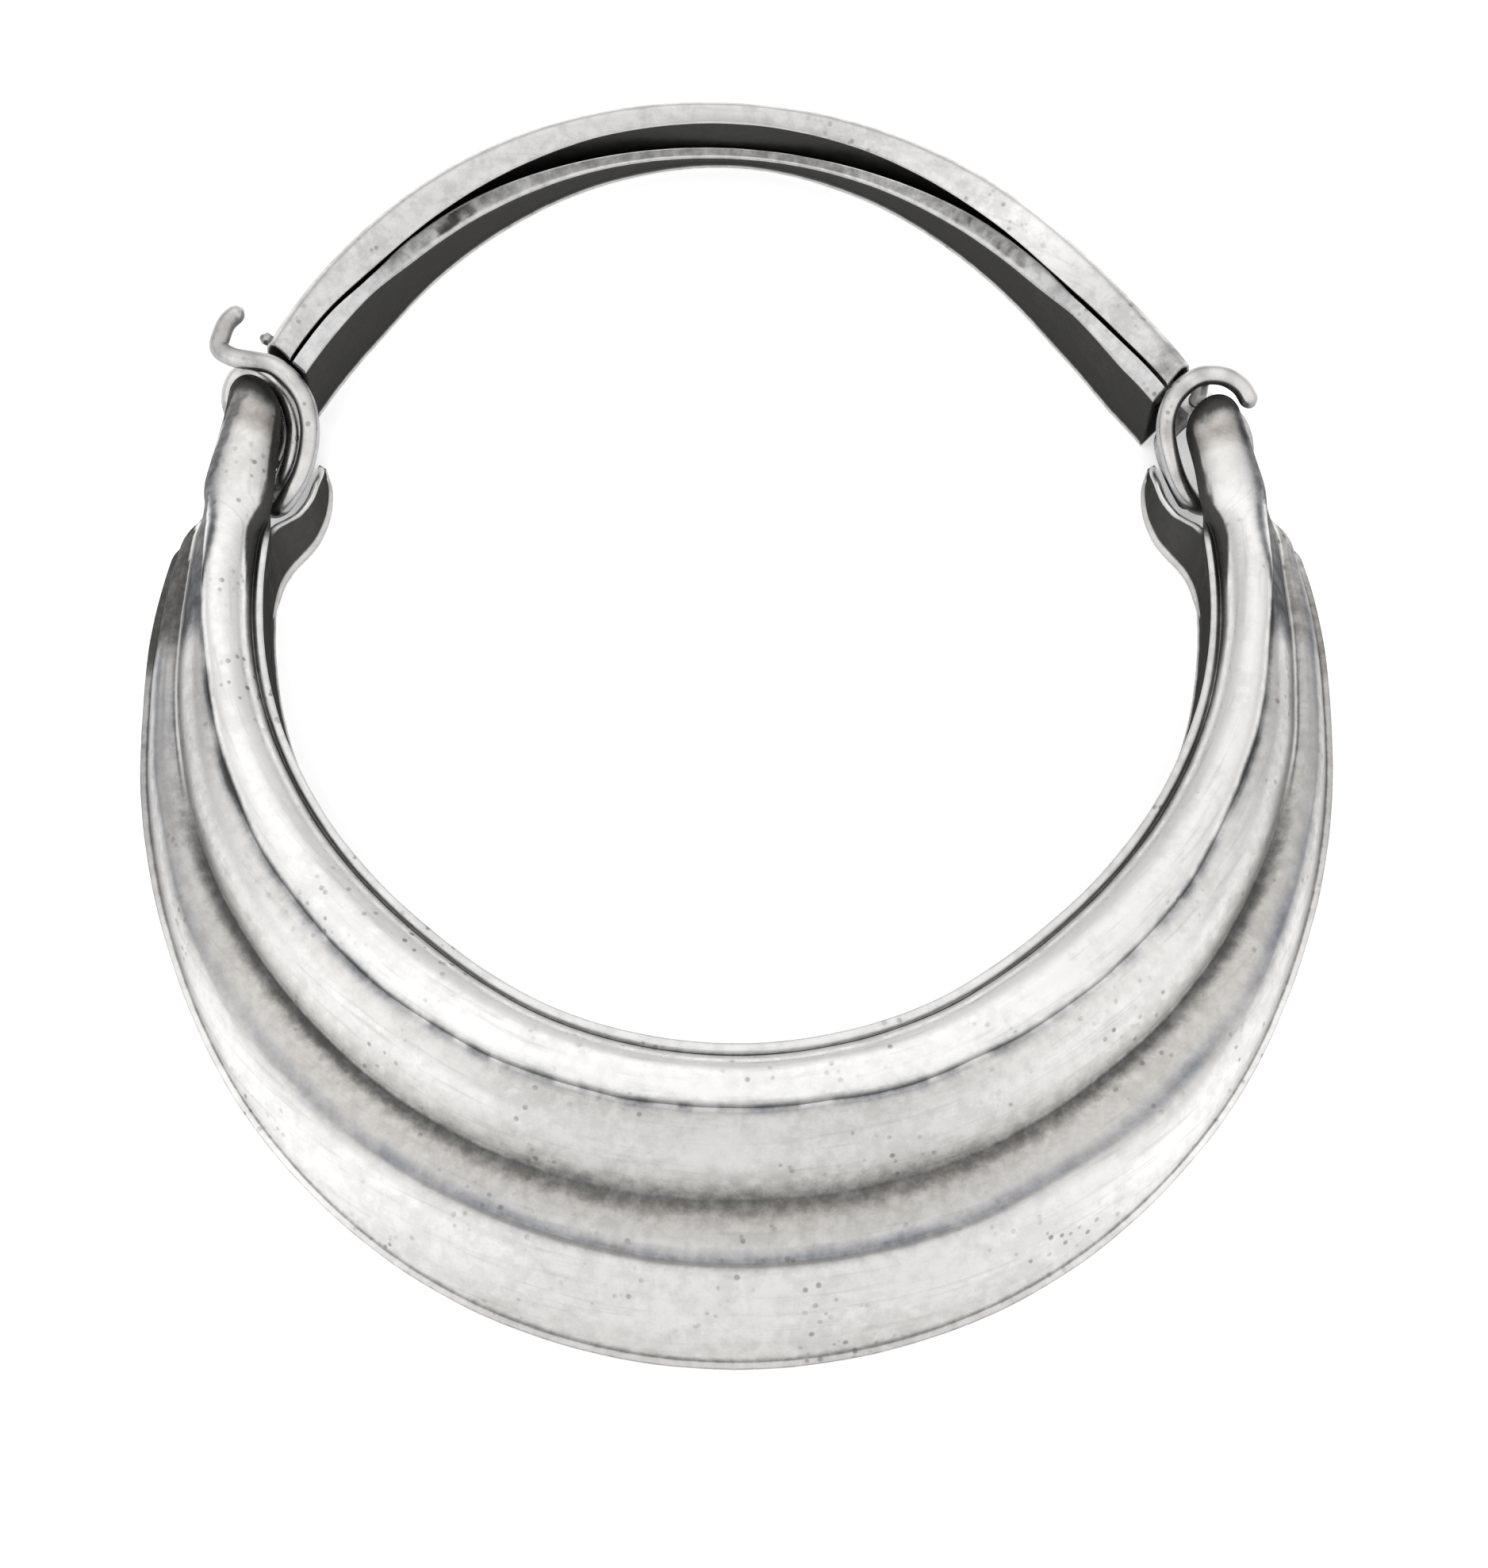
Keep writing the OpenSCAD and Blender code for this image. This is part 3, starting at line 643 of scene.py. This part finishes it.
def back_section(angle):
    """The corners of the section, from the turned edge down the plate, under the floor and up over the
    crest: the outer and the inner point, each the distance inwards from the outline and the height,
    then the bend's radius, in mm, and the part of the sheet that it belongs to."""
    along = abs(angle - back_skew)
    _, plate, cut, z_cut, plate_h, flange = smooth_row(BACK, along, even=True)
    t = back_sheet
    lift = mix(1.1, 0.7, ease((along - 44) / 7))
    turned = plate_h + lift
    hem = [(mix(plate - flange, plate - 0.2, k), plate_h + lift * (1 - k)) for k in (0.22, 0.72)]
    slope = mix(back_height, z_cut, 0.3)
    return [
        ((plate - flange, turned), (plate - flange, turned - t), 0.2, "edge"),
        (hem[0], (hem[0][0] - 0.1, hem[0][1] - t), 0.1, "hem"),
        (hem[1], (hem[1][0] - 0.4, hem[1][1] - t), 0.1, "hem"),
        ((plate - 0.2, plate_h), (plate - t - 0.2, plate_h - t), 0.3, "edge"),
        ((plate, plate_h - 0.5), (plate - t, plate_h - t - 0.1), 0.3, "plate"),
        ((plate, 0.66), (plate - t, 1.1), 0.08, "plate"),
        ((plate + 0.36, 0.6), (plate - t, 1.0), 0.08, "edge"),
        ((plate + 0.36, 0), (plate - t, t), 0.1, "edge"),
        ((0.9, 0), (1.3, t), 0.6, "outside"),
        ((0.3, 1.2), (0.3 + t, 1.6), 1.0, "outside"),
        ((0.0, 6.0), (t, 6.0), 2.0, "outside"),
        ((0.0, 10.5), (t, 10.3), 2.0, "outside"),
        ((0.35, 12.6), (0.35 + t, 12.2), 1.5, "outside"),
        ((1.1, 14.1), (1.6, 13.35), 1.5, "outside"),
        ((2.2, back_height), (2.4, back_height - t), 1.5, "outside"),
        ((mix(2.2, cut, 0.5), slope), (mix(2.4, cut, 0.45), slope - t), 1.5, "outside"),
        ((cut, z_cut), (cut - 0.2, z_cut - t), 0.25, "outside"),
    ]


def filleted(loop, radii):
    """A closed outline with every corner rounded by its own radius, where its sides are long enough."""
    smooth = []
    for i, corner in enumerate(loop):
        before, after = np.array(loop[i - 1]), np.array(loop[(i + 1) % len(loop)])
        corner = np.array(corner, float)
        a, b = before - corner, after - corner
        reach = min(radii[i], 0.48 * np.linalg.norm(a), 0.48 * np.linalg.norm(b))
        start, end = corner + a / np.linalg.norm(a) * reach, corner + b / np.linalg.norm(b) * reach
        for k in range(bend_cuts):
            s = k / (bend_cuts - 1)
            smooth.append((1 - s) ** 2 * start + 2 * s * (1 - s) * corner + s * s * end)
    return smooth


def back_marks(part, angle, inwards, height):
    """How dark, warm and cool the silver is at a point of the back."""
    # the channel's inside and the neck plate are painted dark as shade
    if part in ("inside", "plate"):
        return 1.0, 0, 0
    if part == "edge":
        return 0.0, 0.15, 0.25
    across = abs(angle)
    if part == "hem":
        blotch = ease(waver(21, angle + 1.6 * inwards, 2.4) * 1.5 + 0.1) * near(across - 37, 9)
        plain = mix(mix(0.5, 0.36, ease((across - 14) / 12)), 0.1, ease((across - 40) / 9))
        return max(0.85 * blotch, plain), 0.8 * plain + 0.4 * blotch, 0.3
    # the underside is painted darker as shade
    if height < 0.05:
        return 0.4, 0, 0
    dull = 1 - near(angle - 42, 9)
    return 0.45 * ease((3.2 - abs(across - 66)) / 3), 0.28 * dull, 0.18 * dull


def back_ring(angle):
    """One ring of the back and its marks. Its ends are cut a little askew."""
    outer = smooth_row(BACK_OUT, angle)[1]
    section = back_section(angle)
    loop = [s[0] for s in section] + [s[1] for s in section[::-1]]
    radii = [s[2] for s in section] + [s[2] for s in section[::-1]]
    parts = [s[3] for s in section] + ["inside"] * len(section)
    askew = (-0.2 if angle < 0 else 0.42) * ease((abs(angle) - 54) / 8)
    ring, marks = [], []
    for i, (inwards, z) in enumerate(filleted(loop, radii)):
        t, r = math.radians(angle + askew * inwards), (outer - inwards) * mm
        ring.append((back_centre.x + r * math.sin(t), back_centre.y + r * math.cos(t), max(0.0, z) * mm))
        marks.append(back_marks(parts[i // bend_cuts], angle, inwards, z))
    return ring, marks


rings = [back_ring(mix(*back_ends, k / back_steps)) for k in range(back_steps + 1)]
back = loft("back_channel", rings, caps="pair")
back_silver = worn_silver("back_silver", patina=0.75, pits=0.8, streaks=0.3, sheen=0.3)
apply_tree(back, dents, Depth=0.12 * mm, Size=6 * mm, Seed=9.0, Material=back_silver)
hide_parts("back_arc")
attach(back, "back")

# Wire ring and wire hook
# Two lengths of drawn silver wire. The ring at the right is wound round the tube and is what the back
# hinges on; the hook at the left has a free tail that catches the back's end. Both are wound by hand
# and keep their form.
RING = [
    # x y z along the middle of the wire, in mm
    (70.8, 41.2, 12.3), (69.3, 43.3, 13.6), (66.6, 44.3, 14.8), (63.2, 44.0, 14.9), (60.3, 41.8, 14.0),
    (59.0, 38.8, 12.6), (59.2, 35.8, 10.8), (60.5, 32.3, 8.4), (62.2, 29.9, 6.6), (64.3, 29.2, 5.2),
    (67.2, 30.0, 4.6), (69.6, 33.8, 4.5), (70.8, 38.6, 4.2), (70.1, 43.0, 3.6), (67.5, 45.5, 3.2),
    (64.0, 44.9, 3.0), (61.3, 42.8, 3.1), (59.7, 40.1, 4.1), (59.7, 36.9, 5.2), (61.1, 33.1, 4.6),
    (62.9, 30.4, 2.9),
]
HOOK = [
    # x y z along the middle of the wire, in mm
    (-68.7, 54.4, 15.0), (-70.3, 52.7, 15.0), (-71.1, 50.7, 14.8), (-71.3, 48.7, 14.6), (-69.2, 47.1, 15.0),
    (-66.3, 46.2, 15.6), (-63.5, 45.4, 15.6), (-61.0, 43.4, 15.0), (-59.3, 41.0, 13.8), (-58.6, 38.0, 12.4),
    (-58.8, 34.9, 11.1), (-59.7, 31.9, 9.8), (-61.2, 29.5, 8.6), (-62.9, 28.2, 6.9), (-64.8, 29.0, 5.5),
    (-67.0, 31.9, 5.1), (-68.6, 38.0, 4.8), (-70.0, 42.6, 5.0), (-70.8, 45.8, 6.0), (-69.8, 48.2, 7.4),
    (-67.4, 48.6, 8.4), (-64.6, 46.6, 8.8), (-62.4, 43.8, 8.8), (-61.3, 40.4, 8.4), (-61.2, 37.4, 7.9),
    (-61.9, 34.6, 7.0), (-63.2, 32.8, 5.4), (-64.8, 32.6, 2.8), (-66.4, 34.4, 1.7), (-67.8, 36.8, 1.6),
    (-69.2, 40.0, 1.6), (-70.2, 43.6, 1.9), (-69.8, 46.8, 3.0), (-67.4, 47.8, 4.4), (-65.0, 45.8, 5.4),
    (-63.4, 42.4, 5.6), (-62.9, 39.4, 5.2), (-63.4, 37.2, 4.8), (-64.2, 36.0, 4.4),
]
wire_radius = 1.35 * mm
wire_past_end = 0.4 * mm
route_cuts = 12


def drawn_wire():
    """A tree that draws a round wire along a curve, rounded off at both ends, with a UV map in metres."""
    tree, entry, leave = new_tree("drawn_wire", Radius=wire_radius, Spacing=0.25 * mm, Sides=26,
                                  Unevenness=0.06)
    made, link = tree.nodes.new, tree.links.new

    def captured(geometry, value):
        node = made("GeometryNodeCaptureAttribute")
        node.capture_items.new("FLOAT", "distance")
        link(geometry, node.inputs["Geometry"])
        link(value, node.inputs["distance"])
        return node.outputs["Geometry"], node.outputs["distance"]

    even = made("GeometryNodeResampleCurve")
    even.mode = "LENGTH"
    link(entry.outputs["Geometry"], even.inputs["Curve"])
    link(entry.outputs["Spacing"], even.inputs["Length"])
    travel = made("GeometryNodeSplineParameter").outputs["Length"]
    whole = made("GeometryNodeSplineLength").outputs["Length"]
    from_end = maths(tree, "MINIMUM", travel, maths(tree, "SUBTRACT", whole, travel))
    share = maths(tree, "MINIMUM", maths(tree, "DIVIDE", from_end, entry.outputs["Radius"]), 1.0)
    short = maths(tree, "SUBTRACT", 1.0, share)
    square = maths(tree, "SUBTRACT", 1.0, maths(tree, "MULTIPLY", short, short))
    rounded = maths(tree, "MAXIMUM", maths(tree, "SQRT", square, None), 0.3)
    bulges = made("ShaderNodeTexNoise")
    bulges.inputs["Scale"].default_value = 180
    bulges.inputs["Detail"].default_value = 1
    bulge = maths(tree, "SUBTRACT", bulges.outputs[0], 0.6)
    thick = maths(tree, "ADD", 1.0, maths(tree, "MULTIPLY", bulge, entry.outputs["Unevenness"]))
    path, along = captured(even.outputs[0], travel)
    circle = made("GeometryNodeCurvePrimitiveCircle")
    link(entry.outputs["Sides"], circle.inputs["Resolution"])
    link(entry.outputs["Radius"], circle.inputs["Radius"])
    girth = made("GeometryNodeSplineParameter").outputs["Length"]
    outline, across = captured(circle.outputs["Curve"], girth)
    tube = made("GeometryNodeCurveToMesh")
    tube.inputs["Fill Caps"].default_value = True
    link(path, tube.inputs["Curve"])
    link(outline, tube.inputs["Profile Curve"])
    link(maths(tree, "MULTIPLY", rounded, thick), tube.inputs["Scale"])
    place, store = made("ShaderNodeCombineXYZ"), made("GeometryNodeStoreNamedAttribute")
    link(along, place.inputs[0])
    link(across, place.inputs[1])
    store.data_type, store.domain = "FLOAT2", "CORNER"
    store.inputs["Name"].default_value = "along"
    link(tube.outputs[0], store.inputs["Geometry"])
    link(place.outputs[0], store.inputs["Value"])
    smooth = made("GeometryNodeSetShadeSmooth")
    link(store.outputs[0], smooth.inputs["Geometry"])
    end_tree(tree, smooth.outputs[0], entry, leave)
    return tree


def smooth_route(route):
    """Points in metres on one smooth curve through the route, which goes on a little past both ends."""
    points = [np.array(p, float) * mm for p in route]
    smooth = []
    for i in range(len(points) - 1):
        a, b, c = points[max(0, i - 1)], points[i], points[i + 1]
        d = points[min(len(points) - 1, i + 2)]
        for k in range(route_cuts):
            s = k / route_cuts
            bend = (2 * a - 5 * b + 4 * c - d) * s**2 + (3 * b - a - 3 * c + d) * s**3
            smooth.append(0.5 * (2 * b + (c - a) * s + bend))
    smooth.append(points[-1])
    for end, inner in ((0, 1), (-1, -2)):
        way = smooth[end] - smooth[inner]
        smooth[end] = smooth[end] + way / np.linalg.norm(way) * wire_past_end
    return smooth


def wire_marks(at, normal):
    """Painted shade on the wire: dark low down and underneath, and cool on its sides as they turn from the
    top, which is left bright; warm and cool blotches besides.
    """
    low = ease((8 - at.z) / 7)
    under, side_on = ease(0.3 - normal.z), ease(1.1 - normal.z)
    blotch = ease(1.2 * noise.noise(at * 0.33) + 0.35)
    return max(0.75 * low, 0.8 * under), 0.3 + 0.3 * blotch, 0.55 * side_on + 0.25 * blotch


wire_tree = drawn_wire()
wire_silver = worn_silver("wire_silver", patina=0.45, pits=0.6, streaks=0.3, sheen=0.26)
for name, route, node in (("wire_ring", RING, "hinge_ring"), ("wire_hook", HOOK, "hook_wire")):
    curve = bpy.data.curves.new(name, "CURVE")
    curve.dimensions = "3D"
    line = curve.splines.new("POLY")
    smoothed = smooth_route(route)
    line.points.add(len(smoothed) - 1)
    for point, at in zip(line.points, smoothed):
        point.co = (*at, 1)
    wire = apply_tree(placed(name, curve), wire_tree, Radius=wire_radius, Material=wire_silver)
    wire.name = name
    write_marks(wire.data, [wire_marks(v.co / mm, v.normal) for v in wire.data.vertices])
    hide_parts(node)
    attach(wire, "front")

# Solder bead
# A drop of silver solder left on the outside of the back's left end, behind the tail of the hook. It is
# a little uneven, and dull like the back.
bead_at, bead_radius = Vector((-65.2, 51.3, 12.5)) * mm, 0.9 * mm
bead_marks = (0.3, 0.1, 0.3)
drop = bmesh.new()
bmesh.ops.create_icosphere(drop, subdivisions=4, radius=1.0)
for v in drop.verts:
    v.co = bead_at + v.co * bead_radius * (1 + 0.22 * noise.noise(v.co * 1.3 + Vector((4, 1, 7))))
for f in drop.faces:
    f.smooth = True
mesh = bpy.data.meshes.new("solder_bead")
drop.to_mesh(mesh)
drop.free()
write_marks(mesh, [bead_marks] * len(mesh.vertices))
bead = placed("solder_bead", mesh)
bead.data.materials.append(back_silver)
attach(bead, "back")

# Hinge pin and lug
# Inside the wire ring a short pin stands up, and a plain lug soldered in the back's end turns on it.
# Both are hidden in wear and left as plain dull metal.
plain_silver = worn_silver("plain_silver", patina=0.9, pits=0.4, streaks=0.0, sheen=0.38)
for node in ("hinge_pin", "hinge_lug"):
    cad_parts[node].data.materials.clear()
    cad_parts[node].data.materials.append(plain_silver)

# Floor, light and camera
# A plain white light table in a light tent that is a little darker low down and behind, with three weak
# broad lamps. The camera looks down from the front, as steeply as in the photo.
floor_half, floor_z = 3, -0.0003
floor_mesh = bpy.data.meshes.new("floor")
floor_mesh.from_pydata([(x * floor_half, y * floor_half, floor_z)
                        for x, y in ((-1, -1), (1, -1), (1, 1), (-1, 1))], [], [(0, 1, 2, 3)])
floor = placed("floor", floor_mesh)
paper = bpy.data.materials.new("white_paper")
paper.use_nodes = True
for key, value in (("Base Color", (0.93, 0.93, 0.93, 1)), ("Roughness", 0.9),
                   ("Emission Color", (1, 1, 1, 1)), ("Emission Strength", 0.28)):
    paper.node_tree.nodes["Principled BSDF"].inputs[key].default_value = value
floor.data.materials.append(paper)

tent_back = -0.45
tent_from, tent_to = -0.1, 0.7
tent_low, tent_high = 0.95, 1.42
studio = bpy.data.worlds.new("studio")
studio.use_nodes = True
bpy.context.scene.world = studio
tent = studio.node_tree
way, part = tent.nodes.new("ShaderNodeTexCoord"), tent.nodes.new("ShaderNodeSeparateXYZ")
tent.links.new(way.outputs["Generated"], part.inputs[0])
raised = maths(tent, "ADD", part.outputs["Z"], maths(tent, "MULTIPLY", part.outputs["Y"], tent_back))
strength = span(tent, raised, tent_from, tent_to, tent_low, tent_high)
tent.links.new(strength, tent.nodes["Background"].inputs["Strength"])
tent.nodes["Background"].inputs["Color"].default_value = (1, 1, 1, 1)

LAMPS = [
    # name, place and width in metres, power in watts
    ("overhead", (-0.4, 0.5, 1.4), 1.8, 1.0),
    ("left_fill", (-1.3, -0.9, 0.7), 1.3, 1.4),
    ("right_fill", (1.3, -0.9, 0.7), 1.3, 0.35),
]
for name, at, width, power in LAMPS:
    lamp = bpy.data.lights.new(name, "AREA")
    lamp.size, lamp.energy = width, power
    light = placed(name, lamp)
    light.location = at
    light.rotation_euler = (-Vector(at)).to_track_quat("-Z", "Y").to_euler()

aim = Vector((1.0, -13.8, 9.0)) * mm
steepness, away = math.radians(68), 445 * mm
eye = bpy.data.cameras.new("camera")
eye.sensor_fit, eye.sensor_height, eye.lens = "VERTICAL", 36, 77.15
eye.clip_start = 0.01
camera = placed("camera", eye)
camera.location = aim + Vector((0, -math.cos(steepness), math.sin(steepness))) * away
camera.rotation_euler = (math.radians(90) - steepness, 0, 0)
bpy.context.scene.camera = camera
bpy.context.scene.view_settings.view_transform = "Standard"
